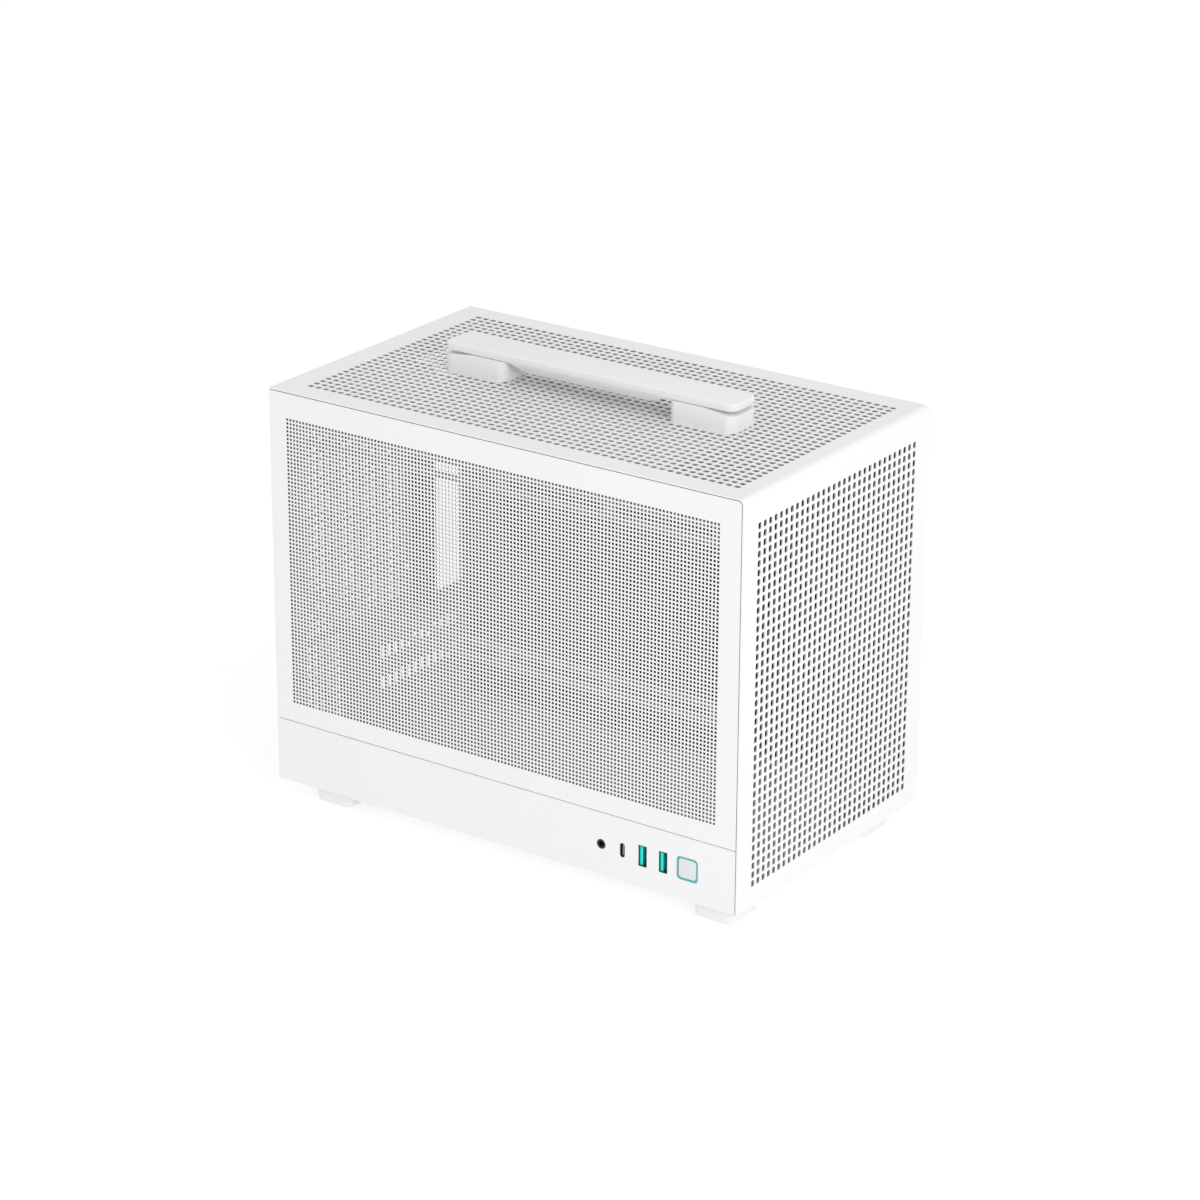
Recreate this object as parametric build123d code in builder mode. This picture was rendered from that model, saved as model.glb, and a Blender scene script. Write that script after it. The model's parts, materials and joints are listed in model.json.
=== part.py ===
from build123d import *
import os

os.makedirs("parts", exist_ok=True)

# Empty small-form-factor computer case. X runs along the case, -X is the rear, -Y the side with the
# ports, Z is up. The origin is on the ground under the middle of the case.

# Case
case_length = 336.0
case_width = 200.0
shell_height = 252.5
foot_height = 9.5
sheet = 1.5
cover_sheet = 0.8
bend_radius = 3.5

# Lift-off side panels
panel_sheet = 0.6
panel_gap = 0.5
panel_corner = 2.0
panel_lip = 5.0
lip_end_gap = 22.0
strip_height = 40.0

# Fields of openings: a coarse grid with about the open share of the sheet's fine slots and holes
slot_field_across = 172.05
slot_field_along = 307.45
slot_field_down = 224.2
slot_field_rear = 16.0
slot_field_drop = 16.9
slot_grid_across = 7
slot_grid_along = 12
slot_grid_down = 9
slot_share = 0.64
handle_land = 4.0
mesh_field_along = 308.7
mesh_field_up = 183.75
mesh_field_rear = 12.4
mesh_field_drop = 16.3
mesh_grid_along = 12
mesh_grid_up = 7
mesh_share = 0.6

# Inner frame
frame_inset = 2.5
frame_sheet = 1.2
rear_recess = 9.0
rear_flange = 22.0
pillar_web = 12.0
pillar_flange = 14.0

# Fan rails: drop of each rail's top edge below the case top
rail_upper_drop = 19.0
rail_upper_height = 14.0
rail_lower_drop = 125.6
rail_lower_height = 15.4
rail_slot_length = 67.0
rail_slot_height = 5.6
rail_slot_pitch = 74.5
rail_slot_count = 4
rail_slot_middle = 1.25

# Bracket under the near part of the top, on the upper fan rail
bracket_drop = 4.0
bracket_reach = 86.0
bracket_front_inset = 71.0
bracket_rail_overlap = 3.0

# Push-in studs that hold the side panels
stud_shank_radius = 1.6
stud_ball_radius = 2.3
stud_reach = 4.6
socket_bore_radius = 2.7
socket_radius = 3.6
socket_collar_radius = 5.0
socket_collar = 1.0
socket_depth = 6.0
stud_low = 65.0
stud_high = 205.0

# Rear openings
fan_bolt_spacing = 105.0
fan_bolt_radius = 2.25
fan_centre_y = -34.5
fan_centre_height = 157.0
io_length = 158.75
io_width = 44.45
io_low = 78.2
io_tray_gap = 4.2
io_angle_depth = 14.8
io_angle_foot = 7.0
slot_pitch = 20.32
slot_first_height = 34.5
slot_count = 2
slot_opening_length = 88.0
slot_opening_height = 12.0
slot_tray_gap = 6.0
cover_width = 18.4
cover_overlap_near = 13.0
cover_overlap_far = 3.5
cover_vent_count = 12
cover_vent_pitch = 6.6
cover_vent_width = 3.2
cover_vent_height = 8.0
thumb_head_radius = 4.5
thumb_head_length = 5.0
thumb_radius = 1.6

# Board tray and standoffs
tray_from_far = 22.5
tray_front_margin = 22.9
cutout_rear = 30.0
cutout_length = 122.0
cutout_low = 100.0
cutout_height = 120.0
cutout_corner = 8.0
board_pitch_x = 154.94
board_pitch_z = 157.48
board_hole_rear = 11.2
standoff_length = 6.5
standoff_radius = 3.2
standoff_hole_radius = 1.5

# Power supply bracket behind the front sheet
psu_gap = 7.0
psu_from_far = 12.0
psu_width = 68.0
psu_height = 136.0
psu_opening_width = 42.0
psu_opening_height = 100.0
psu_bolt_width = 51.5
psu_bolt_height = 113.0
psu_bolt_radius = 1.75

# Ports on the strip
jack_from_front = 94.2
usb_c_from_front = 79.2
usb_a_from_front = 65.0
usb_a_pitch = 14.3
usb_a_count = 2
button_from_front = 34.0
port_clearance = 0.2
usb_a_width = 5.6
usb_a_length = 13.1
usb_a_wall = 0.35
usb_a_back = 1.5
tongue_thickness = 1.9
tongue_recess = 1.0
usb_c_width = 3.2
usb_c_length = 8.94
usb_c_wall = 0.3
usb_c_tongue = 0.7
jack_radius = 3.0
jack_bore_radius = 1.8
jack_bore_depth = 14.0
jack_body_width = 8.0
jack_body_setback = 3.0

# Port board
board_setback = 17.0
board_thickness = 1.6
board_margin = 6.5
board_low = 4.0
board_high = 4.0
board_bracket_foot = 15.0
board_screw_radius = 1.2
board_screw_head_radius = 2.2
board_screw_head = 1.6
board_screw_inset = 3.4

# Power button
button_size = 12.1
button_corner = 2.0
button_depth = 7.0
button_flange = 14.0
button_flange_thickness = 1.5
button_travel = 1.2
button_gap = 0.3
ring_size = 14.5
ring_corner = 2.6
ring_collar = 1.5
ring_collar_size = 16.0
housing_size = 19.0
housing_depth = 9.0
stem_radius = 2.0
switch_size = 6.0
switch_height = 4.0
plunger_radius = 1.7
plunger_reach = 1.4

# Handle
block_outer = 103.5
block_inner = 58.5
block_width = 27.4
block_height = 10.6
block_rise = 2.4
block_flat = 24.0
block_corner = 6.0
bar_length = 208.5
bar_width = 25.5
bar_thickness = 4.7
bar_gap = 0.3
bar_corner = 6.0
bar_round = 0.8
grip_width = 25.0
grip_low_width = 20.0
grip_flat = 88.0
grip_length = 115.0
grip_depth = 5.2
post_radius = 4.0
post_clearance = 0.08
post_hole_clearance = 0.6
post_collar_radius = 7.0
post_collar = 3.0
handle_travel = 12.0
handle_screw_radius = 2.0
handle_screw_head_radius = 3.5
handle_screw_head = 2.0
handle_screw_bite = 8.0
handle_screw_offset = 15.5

# Feet
foot_length = 28.0
foot_width = 30.0
foot_front_inset = 4.5
foot_rear_inset = 26.0
foot_near_inset = 2.0
foot_far_inset = 21.5
foot_taper = 6.0
foot_corner = 5.0
pad_height = 1.6
pad_proud = 0.8
pad_margin = 5.0
foot_screw_radius = 2.0
foot_screw_bite = 5.0
foot_screw_head_radius = 3.8
foot_screw_head = 2.2
screw_clearance = 0.05

# Faces that the pieces share
rear_x = -case_length / 2
front_x = case_length / 2
near_y = -case_width / 2
far_y = case_width / 2
floor_z = foot_height
top_z = foot_height + shell_height
front_inner_x = front_x - cover_sheet
top_inner_z = top_z - cover_sheet
base_top_z = floor_z + sheet
frame_y = case_width / 2 - frame_inset
strip_inner_y = near_y + sheet
strip_top_z = floor_z + strip_height
strip_front_x = front_inner_x - panel_gap
panel_top_z = top_inner_z - panel_gap
rear_face_x = rear_x + rear_recess
rear_inner_x = rear_face_x + sheet
tray_y = far_y - tray_from_far
slot_near_y = tray_y - slot_tray_gap - slot_opening_length
io_near_y = tray_y - io_tray_gap - io_width
tray_length = board_hole_rear + board_pitch_x + tray_front_margin
board_middle = (rear_inner_x + board_hole_rear + board_pitch_x / 2, floor_z + io_low + io_length / 2)
slot_field_x = rear_x + slot_field_rear + slot_field_along / 2
slot_field_z = top_z - slot_field_drop - slot_field_down / 2
mesh_field_x = rear_x + mesh_field_rear + mesh_field_along / 2
mesh_field_z = top_z - mesh_field_drop - mesh_field_up / 2
port_z = floor_z + strip_height / 2
jack_x = front_x - jack_from_front
usb_c_x = front_x - usb_c_from_front
usb_a_first_x = front_x - usb_a_from_front
button_x = front_x - button_from_front
rail_y = frame_y - frame_sheet
block_centre_x = (block_outer + block_inner) / 2
bar_low_z = top_z + block_height + block_rise + bar_gap
rear_stud_x = rear_x + rear_flange - socket_collar_radius - sheet
front_stud_x = front_inner_x - pillar_flange + socket_collar_radius + 1.0
stud_spots = [(x, floor_z + z) for x in (rear_stud_x, front_stud_x) for z in (stud_low, stud_high)]


def save(part, name):
    part.label = name
    export_step(part, f"parts/{name}.step")


def wall(side, distance):
    """Plane at the given distance from the middle, facing out of the near (-1) or far (+1) side."""
    return Plane(origin=(0, side * distance, 0), x_dir=(-side, 0, 0), z_dir=(0, side, 0))


def on_wall(side, x, z):
    return (-side * x, z)


def opening_grid(long_side, short_side, long_count, short_count, share):
    """Square-cornered openings that fill a field, each the given share of its pitch along both sides."""
    long_pitch = long_side / long_count
    short_pitch = short_side / short_count
    with GridLocations(long_pitch, short_pitch, long_count, short_count):
        Rectangle(long_pitch * share, short_pitch * share)


# Wrap cover: the front sheet and the top are one bent sheet
with BuildPart() as wrap_cover:
    with BuildSketch(Plane.XZ):
        with BuildLine():
            Polyline(
                (rear_x, top_z),
                (front_x, top_z),
                (front_x, floor_z),
                (front_inner_x, floor_z),
                (front_inner_x, top_inner_z),
                (rear_x, top_inner_z),
                close=True,
            )
        make_face()
        fillet(vertices().sort_by_distance((front_x, top_z))[0], bend_radius)
        fillet(vertices().sort_by_distance((front_inner_x, top_inner_z))[0], bend_radius - cover_sheet)
    extrude(amount=case_width / 2, both=True)
    with BuildSketch(Plane.XY.offset(top_z)):
        for side in (-1, 1):
            with Locations((side * block_centre_x, 0)):
                Circle(post_radius + post_hole_clearance)
            with Locations(
                (side * block_centre_x - handle_screw_offset, 0),
                (side * block_centre_x + handle_screw_offset, 0),
            ):
                Circle(handle_screw_radius + screw_clearance)
    extrude(amount=-cover_sheet, mode=Mode.SUBTRACT)
    with BuildSketch(Plane.XY.offset(top_z)):
        with Locations((slot_field_x, 0)):
            opening_grid(slot_field_along, slot_field_across, slot_grid_along, slot_grid_across, slot_share)
        for side in (-1, 1):
            with Locations((side * block_centre_x, 0)):
                land_length = block_outer - block_inner + 2 * handle_land
                Rectangle(land_length, slot_field_across / slot_grid_across, mode=Mode.SUBTRACT)
    extrude(amount=-cover_sheet, mode=Mode.SUBTRACT)
    with BuildSketch(Plane.YZ.offset(front_x)):
        with Locations((0, slot_field_z)):
            opening_grid(slot_field_across, slot_field_down, slot_grid_across, slot_grid_down, slot_share)
    extrude(amount=-cover_sheet, mode=Mode.SUBTRACT)
save(wrap_cover.part, "wrap_cover")

# Base plate
foot_columns = (rear_x + foot_rear_inset + foot_length / 2, front_x - foot_front_inset - foot_length / 2)
foot_rows = (near_y + foot_near_inset + foot_width / 2, far_y - foot_far_inset - foot_width / 2)
foot_spots = [(x, y) for x in foot_columns for y in foot_rows]
with BuildPart() as base_plate:
    with BuildSketch(Plane.XY.offset(floor_z)):
        with Locations(((rear_x + front_inner_x) / 2, (strip_inner_y + far_y) / 2)):
            Rectangle(front_inner_x - rear_x, far_y - strip_inner_y)
        with Locations(*foot_spots):
            Circle(foot_screw_radius + screw_clearance, mode=Mode.SUBTRACT)
    extrude(amount=sheet)
save(base_plate.part, "base_plate")

# Rear panel: a plate set in behind a rim, with side flanges that reach forward
with BuildPart() as rear_panel:
    rim_height = top_inner_z - base_top_z
    rim_middle_z = (top_inner_z + base_top_z) / 2
    with BuildSketch(Plane.YZ.offset(rear_x)):
        with Locations((0, rim_middle_z)):
            Rectangle(2 * frame_y, rim_height)
            Rectangle(2 * (frame_y - sheet), rim_height - 2 * sheet, mode=Mode.SUBTRACT)
    extrude(amount=rear_recess + sheet)
    with BuildSketch(Plane.YZ.offset(rear_face_x)):
        with Locations((0, rim_middle_z)):
            Rectangle(2 * frame_y, rim_height)
    extrude(amount=sheet)
    for side in (-1, 1):
        with BuildSketch(Plane.YZ.offset(rear_x)):
            with Locations((side * (frame_y - frame_sheet / 2), rim_middle_z)):
                Rectangle(frame_sheet, rim_height)
        extrude(amount=rear_flange)
    with BuildSketch(Plane.YZ.offset(rear_face_x)):
        with Locations((io_near_y + io_width / 2, board_middle[1])):
            Rectangle(io_width, io_length)
        with Locations((fan_centre_y, floor_z + fan_centre_height)):
            with GridLocations(fan_bolt_spacing, fan_bolt_spacing, 2, 2):
                Circle(fan_bolt_radius)
        for index in range(slot_count):
            slot_z = floor_z + slot_first_height + index * slot_pitch
            with Locations((slot_near_y + slot_opening_length / 2, slot_z)):
                Rectangle(slot_opening_length, slot_opening_height)
            with Locations((slot_near_y - cover_overlap_near / 2, slot_z)):
                Circle(thumb_radius + screw_clearance)
    extrude(amount=sheet, mode=Mode.SUBTRACT)
    for side in (-1, 1):
        with BuildSketch(wall(side, frame_y)):
            with Locations(*[on_wall(side, rear_stud_x, floor_z + z) for z in (stud_low, stud_high)]):
                Circle(socket_radius)
        extrude(amount=-frame_sheet, mode=Mode.SUBTRACT)
save(rear_panel.part, "rear_panel")

# Angle that stiffens the near edge of the connector opening
with BuildPart() as io_angle:
    with BuildSketch(Plane.XY.offset(floor_z + io_low)):
        with Locations((rear_inner_x + io_angle_depth / 2, io_near_y - frame_sheet / 2)):
            Rectangle(io_angle_depth, frame_sheet)
        with Locations((rear_inner_x + frame_sheet / 2, io_near_y - io_angle_foot / 2)):
            Rectangle(frame_sheet, io_angle_foot)
    extrude(amount=io_length)
save(io_angle.part, "io_angle")

# Expansion slot covers and their thumb screws
for index in range(slot_count):
    slot_z = floor_z + slot_first_height + index * slot_pitch
    cover_length = slot_opening_length + cover_overlap_near + cover_overlap_far
    cover_y = slot_near_y - cover_overlap_near + cover_length / 2
    with BuildPart() as slot_cover:
        with BuildSketch(Plane.YZ.offset(rear_inner_x)):
            with Locations((cover_y, slot_z)):
                Rectangle(cover_length, cover_width)
            with Locations((slot_near_y + slot_opening_length / 2, slot_z)):
                with GridLocations(cover_vent_pitch, 1, cover_vent_count, 1):
                    Rectangle(cover_vent_width, cover_vent_height, mode=Mode.SUBTRACT)
            with Locations((slot_near_y - cover_overlap_near / 2, slot_z)):
                Circle(thumb_radius + screw_clearance, mode=Mode.SUBTRACT)
        extrude(amount=panel_sheet)
    save(slot_cover.part, f"slot_cover_{index + 1}")

with BuildPart() as slot_thumb_screws:
    for index in range(slot_count):
        slot_z = floor_z + slot_first_height + index * slot_pitch
        screw_y = slot_near_y - cover_overlap_near / 2
        with BuildSketch(Plane.YZ.offset(rear_face_x)):
            with Locations((screw_y, slot_z)):
                Circle(thumb_head_radius)
        extrude(amount=-thumb_head_length)
        with BuildSketch(Plane.YZ.offset(rear_face_x)):
            with Locations((screw_y, slot_z)):
                Circle(thumb_radius)
        extrude(amount=sheet + panel_sheet + thumb_radius)
save(slot_thumb_screws.part, "slot_thumb_screws")

# Board tray, parallel to the far side, with the cut-out behind the processor
with BuildPart() as motherboard_tray:
    tray_middle_x = rear_inner_x + tray_length / 2
    with BuildSketch(wall(1, tray_y)):
        with Locations(on_wall(1, tray_middle_x, (base_top_z + top_inner_z) / 2)):
            Rectangle(tray_length, top_inner_z - base_top_z)
        cutout_x = rear_inner_x + cutout_rear + cutout_length / 2
        with Locations(on_wall(1, cutout_x, floor_z + cutout_low + cutout_height / 2)):
            RectangleRounded(cutout_length, cutout_height, cutout_corner, mode=Mode.SUBTRACT)
    extrude(amount=frame_sheet)
save(motherboard_tray.part, "motherboard_tray")

with BuildPart() as motherboard_standoffs:
    with BuildSketch(wall(-1, -tray_y)):
        with Locations(board_middle):
            with GridLocations(board_pitch_x, board_pitch_z, 2, 2):
                RegularPolygon(standoff_radius, 6)
                Circle(standoff_hole_radius, mode=Mode.SUBTRACT)
    extrude(amount=standoff_length)
save(motherboard_standoffs.part, "motherboard_standoffs")

# Front pillars: an angle behind each upright edge of the front sheet
for side, side_name in ((-1, "near"), (1, "far")):
    with BuildPart() as front_pillar:
        pillar_height = top_inner_z - bend_radius - base_top_z
        with BuildSketch(Plane.XY.offset(base_top_z)):
            with Locations((front_inner_x - frame_sheet / 2, side * (frame_y - pillar_web / 2))):
                Rectangle(frame_sheet, pillar_web)
            with Locations((front_inner_x - pillar_flange / 2, side * (frame_y - frame_sheet / 2))):
                Rectangle(pillar_flange, frame_sheet)
        extrude(amount=pillar_height)
        with BuildSketch(wall(side, frame_y)):
            with Locations(*[on_wall(side, front_stud_x, floor_z + z) for z in (stud_low, stud_high)]):
                Circle(socket_radius)
        extrude(amount=-frame_sheet, mode=Mode.SUBTRACT)
    save(front_pillar.part, f"front_pillar_{side_name}")

# Slotted fan rails behind the near panel
rail_start_x = rear_inner_x
rail_end_x = front_inner_x - frame_sheet
rail_specs = (
    ("fan_rail_upper", rail_upper_drop, rail_upper_height),
    ("fan_rail_lower", rail_lower_drop, rail_lower_height),
)
for rail_name, drop, height in rail_specs:
    with BuildPart() as fan_rail:
        rail_z = top_z - drop - height / 2
        with BuildSketch(wall(-1, rail_y)):
            with Locations(((rail_start_x + rail_end_x) / 2, rail_z)):
                Rectangle(rail_end_x - rail_start_x, height)
            with Locations((rail_slot_middle, rail_z)):
                with GridLocations(rail_slot_pitch, 1, rail_slot_count, 1):
                    SlotOverall(rail_slot_length, rail_slot_height, mode=Mode.SUBTRACT)
        extrude(amount=-frame_sheet)
    save(fan_rail.part, rail_name)

# Bracket for a radiator or a drive: a shelf under the top with a flange on the upper rail
with BuildPart() as top_bracket:
    bracket_top_z = top_z - bracket_drop
    bracket_front_x = front_x - bracket_front_inset
    bracket_low_z = top_z - rail_upper_drop - bracket_rail_overlap
    bracket_middle_x = (rail_start_x + bracket_front_x) / 2
    with BuildSketch(wall(-1, rail_y - frame_sheet)):
        with Locations((bracket_middle_x, (bracket_low_z + bracket_top_z) / 2)):
            Rectangle(bracket_front_x - rail_start_x, bracket_top_z - bracket_low_z)
    extrude(amount=-frame_sheet)
    with BuildSketch(Plane.XY.offset(bracket_top_z)):
        with Locations((bracket_middle_x, -(rail_y - frame_sheet) + bracket_reach / 2)):
            Rectangle(bracket_front_x - rail_start_x, bracket_reach)
    extrude(amount=-frame_sheet)
save(top_bracket.part, "top_bracket")

# Power supply bracket
with BuildPart() as psu_bracket:
    psu_x = front_inner_x - psu_gap
    psu_middle = (far_y - psu_from_far - psu_width / 2, base_top_z + psu_height / 2)
    with BuildSketch(Plane.YZ.offset(psu_x)):
        with Locations(psu_middle):
            Rectangle(psu_width, psu_height)
            Rectangle(psu_opening_width, psu_opening_height, mode=Mode.SUBTRACT)
            with GridLocations(psu_bolt_width, psu_bolt_height, 2, 2):
                Circle(psu_bolt_radius, mode=Mode.SUBTRACT)
    extrude(amount=-frame_sheet)
    with BuildSketch(Plane.XY.offset(base_top_z)):
        with Locations(((psu_x + rail_end_x) / 2, psu_middle[0])):
            Rectangle(rail_end_x - psu_x, psu_width)
    extrude(amount=frame_sheet)
save(psu_bracket.part, "psu_bracket")


# Side panels: flat sheets, with a stiffening strip behind the top and bottom edge
def make_side_panel(side, low_z):
    with BuildPart() as panel:
        with BuildSketch(wall(side, case_width / 2)):
            middle = on_wall(side, (rear_x + strip_front_x) / 2, (low_z + panel_top_z) / 2)
            with Locations(middle):
                Rectangle(strip_front_x - rear_x, panel_top_z - low_z)
        extrude(amount=-panel_sheet)
        fillet(edges().filter_by(Axis.Y).group_by(Axis.Z)[-1].sort_by(Axis.X)[-1], panel_corner)
        if side < 0:
            with BuildSketch(wall(side, case_width / 2)):
                with Locations(on_wall(side, mesh_field_x, mesh_field_z)):
                    opening_grid(mesh_field_along, mesh_field_up, mesh_grid_along, mesh_grid_up, mesh_share)
            extrude(amount=-panel_sheet, mode=Mode.SUBTRACT)
    return panel.part


def make_lips(side, low_z):
    with BuildPart() as lips:
        lip_length = strip_front_x - rear_x - 2 * lip_end_gap
        for lip_z in (low_z + panel_sheet / 2, panel_top_z - panel_sheet / 2):
            with BuildSketch(wall(side, case_width / 2 - panel_sheet)):
                with Locations(on_wall(side, (rear_x + strip_front_x) / 2, lip_z)):
                    Rectangle(lip_length, panel_sheet)
            extrude(amount=-(panel_lip - panel_sheet))
    return lips.part


def make_studs(side):
    with BuildPart() as studs:
        for x, z in stud_spots:
            base = wall(side, case_width / 2 - panel_sheet)
            with BuildSketch(base):
                with Locations(on_wall(side, x, z)):
                    Circle(stud_shank_radius)
            extrude(amount=-stud_reach)
            with Locations((x, side * (case_width / 2 - panel_sheet - stud_reach), z)):
                Sphere(stud_ball_radius)
    return studs.part


def make_sockets(side):
    with BuildPart() as sockets:
        for x, z in stud_spots:
            spot = on_wall(side, x, z)
            with BuildSketch(wall(side, frame_y)):
                with Locations(spot):
                    Circle(socket_collar_radius)
            extrude(amount=socket_collar)
            with BuildSketch(wall(side, frame_y)):
                with Locations(spot):
                    Circle(socket_radius)
            extrude(amount=-socket_depth)
            with BuildSketch(wall(side, frame_y + socket_collar)):
                with Locations(spot):
                    Circle(socket_bore_radius)
            extrude(amount=-(socket_depth + socket_collar), mode=Mode.SUBTRACT)
    return sockets.part


for side, side_name, low_z in ((-1, "near", strip_top_z + panel_gap), (1, "far", base_top_z + panel_gap)):
    save(make_side_panel(side, low_z), f"side_panel_{side_name}")
    save(make_lips(side, low_z), f"panel_lips_{side_name}")
    save(make_studs(side), f"panel_studs_{side_name}")
    save(make_sockets(side), f"panel_sockets_{side_name}")

# Port strip under the near panel
usb_a_spots = [(usb_a_first_x + index * usb_a_pitch, port_z) for index in range(usb_a_count)]
with BuildPart() as port_strip:
    with BuildSketch(wall(-1, case_width / 2)):
        with Locations(((rear_x + strip_front_x) / 2, port_z)):
            Rectangle(strip_front_x - rear_x, strip_height)
        with Locations((button_x, port_z)):
            RectangleRounded(
                ring_size + port_clearance,
                ring_size + port_clearance,
                ring_corner,
                mode=Mode.SUBTRACT,
            )
        with Locations((jack_x, port_z)):
            Circle(jack_radius + port_clearance / 2, mode=Mode.SUBTRACT)
        with Locations((usb_c_x, port_z)):
            SlotOverall(
                usb_c_length + port_clearance,
                usb_c_width + port_clearance,
                rotation=90,
                mode=Mode.SUBTRACT,
            )
        with Locations(*usb_a_spots):
            Rectangle(usb_a_width + port_clearance, usb_a_length + port_clearance, mode=Mode.SUBTRACT)
    extrude(amount=-sheet)
    strip_lip_length = strip_front_x - rear_x - 2 * lip_end_gap
    with BuildSketch(wall(-1, case_width / 2)):
        with Locations(((rear_x + strip_front_x) / 2, strip_top_z - sheet / 2)):
            Rectangle(strip_lip_length, sheet)
    extrude(amount=-(panel_lip + sheet))
save(port_strip.part, "port_strip")

# Ports: each shell starts at the strip's face and ends on the port board
board_y = case_width / 2 - board_setback
for index, spot in enumerate(usb_a_spots):
    with BuildPart() as usb_a_shell:
        with BuildSketch(wall(-1, case_width / 2)):
            with Locations(spot):
                Rectangle(usb_a_width, usb_a_length)
        extrude(amount=-board_setback)
        with BuildSketch(wall(-1, case_width / 2)):
            with Locations(spot):
                Rectangle(usb_a_width - 2 * usb_a_wall, usb_a_length - 2 * usb_a_wall)
        extrude(amount=-(board_setback - usb_a_back), mode=Mode.SUBTRACT)
    save(usb_a_shell.part, f"usb_a_shell_{index + 1}")
    with BuildPart() as usb_a_tongue:
        tongue_x = spot[0] - usb_a_width / 2 + usb_a_wall + tongue_thickness / 2
        with BuildSketch(wall(-1, case_width / 2 - tongue_recess)):
            with Locations((tongue_x, spot[1])):
                Rectangle(tongue_thickness, usb_a_length - 2 * usb_a_wall)
        extrude(amount=-(board_setback - usb_a_back - tongue_recess))
    save(usb_a_tongue.part, f"usb_a_tongue_{index + 1}")

with BuildPart() as usb_c_shell:
    with BuildSketch(wall(-1, case_width / 2)):
        with Locations((usb_c_x, port_z)):
            SlotOverall(usb_c_length, usb_c_width, rotation=90)
    extrude(amount=-board_setback)
    with BuildSketch(wall(-1, case_width / 2)):
        with Locations((usb_c_x, port_z)):
            SlotOverall(usb_c_length - 2 * usb_c_wall, usb_c_width - 2 * usb_c_wall, rotation=90)
    extrude(amount=-(board_setback - usb_a_back), mode=Mode.SUBTRACT)
save(usb_c_shell.part, "usb_c_shell")

with BuildPart() as usb_c_tongue_piece:
    with BuildSketch(wall(-1, case_width / 2 - tongue_recess)):
        with Locations((usb_c_x, port_z)):
            Rectangle(usb_c_tongue, usb_c_length - 2 * usb_c_wall - usb_c_width / 2)
    extrude(amount=-(board_setback - usb_a_back - tongue_recess))
save(usb_c_tongue_piece.part, "usb_c_tongue")

with BuildPart() as audio_jack:
    with BuildSketch(wall(-1, case_width / 2)):
        with Locations((jack_x, port_z)):
            Circle(jack_radius)
    extrude(amount=-board_setback)
    with BuildSketch(wall(-1, case_width / 2 - jack_body_setback)):
        with Locations((jack_x, port_z)):
            Rectangle(jack_body_width, jack_body_width)
    extrude(amount=-(board_setback - jack_body_setback))
    with BuildSketch(wall(-1, case_width / 2)):
        with Locations((jack_x, port_z)):
            Circle(jack_bore_radius)
    extrude(amount=-jack_bore_depth, mode=Mode.SUBTRACT)
save(audio_jack.part, "audio_jack")

# Port board on an angle bracket, with its screws
board_left_x = jack_x - board_margin - board_screw_inset
board_right_x = button_x + board_margin + board_screw_inset
board_low_z = floor_z + board_low
board_high_z = strip_top_z - board_high
port_board_middle = ((board_left_x + board_right_x) / 2, (board_low_z + board_high_z) / 2)
board_screw_spots = [
    (board_left_x + board_screw_inset, port_z),
    (board_right_x - board_screw_inset, port_z),
]
with BuildPart() as port_board:
    with BuildSketch(wall(-1, board_y)):
        with Locations(port_board_middle):
            Rectangle(board_right_x - board_left_x, board_high_z - board_low_z)
        with Locations(*board_screw_spots):
            Circle(board_screw_radius + screw_clearance, mode=Mode.SUBTRACT)
    extrude(amount=-board_thickness)
save(port_board.part, "port_board")

with BuildPart() as port_bracket:
    bracket_y = board_y - board_thickness
    with BuildSketch(wall(-1, bracket_y)):
        with Locations((port_board_middle[0], (base_top_z + board_high_z) / 2)):
            Rectangle(board_right_x - board_left_x, board_high_z - base_top_z)
        with Locations(*board_screw_spots):
            Circle(board_screw_radius + screw_clearance, mode=Mode.SUBTRACT)
    extrude(amount=-frame_sheet)
    with BuildSketch(wall(-1, bracket_y)):
        with Locations((port_board_middle[0], base_top_z + frame_sheet / 2)):
            Rectangle(board_right_x - board_left_x, frame_sheet)
    extrude(amount=-board_bracket_foot)
save(port_bracket.part, "port_bracket")

with BuildPart() as port_board_screws:
    with BuildSketch(wall(-1, board_y)):
        with Locations(*board_screw_spots):
            Circle(board_screw_head_radius)
    extrude(amount=board_screw_head)
    with BuildSketch(wall(-1, board_y)):
        with Locations(*board_screw_spots):
            Circle(board_screw_radius)
    extrude(amount=-(board_thickness + frame_sheet))
save(port_board_screws.part, "port_board_screws")

# Power button: ring and housing are fixed, the button slides in and presses the switch
ring_inner = button_size + 2 * button_gap
with BuildPart() as button_light_ring:
    with BuildSketch(wall(-1, case_width / 2)):
        with Locations((button_x, port_z)):
            RectangleRounded(ring_size, ring_size, ring_corner)
    extrude(amount=-sheet)
    with BuildSketch(wall(-1, case_width / 2 - sheet)):
        with Locations((button_x, port_z)):
            RectangleRounded(ring_collar_size, ring_collar_size, ring_corner)
    extrude(amount=-ring_collar)
    with BuildSketch(wall(-1, case_width / 2)):
        with Locations((button_x, port_z)):
            RectangleRounded(ring_inner, ring_inner, button_corner + button_gap)
    extrude(amount=-(sheet + ring_collar), mode=Mode.SUBTRACT)
save(button_light_ring.part, "button_light_ring")

with BuildPart() as button_housing:
    with BuildSketch(wall(-1, case_width / 2 - sheet)):
        with Locations((button_x, port_z)):
            RectangleRounded(housing_size, housing_size, ring_corner)
            RectangleRounded(ring_collar_size, ring_collar_size, ring_corner, mode=Mode.SUBTRACT)
    extrude(amount=-housing_depth)
save(button_housing.part, "button_housing")

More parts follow.
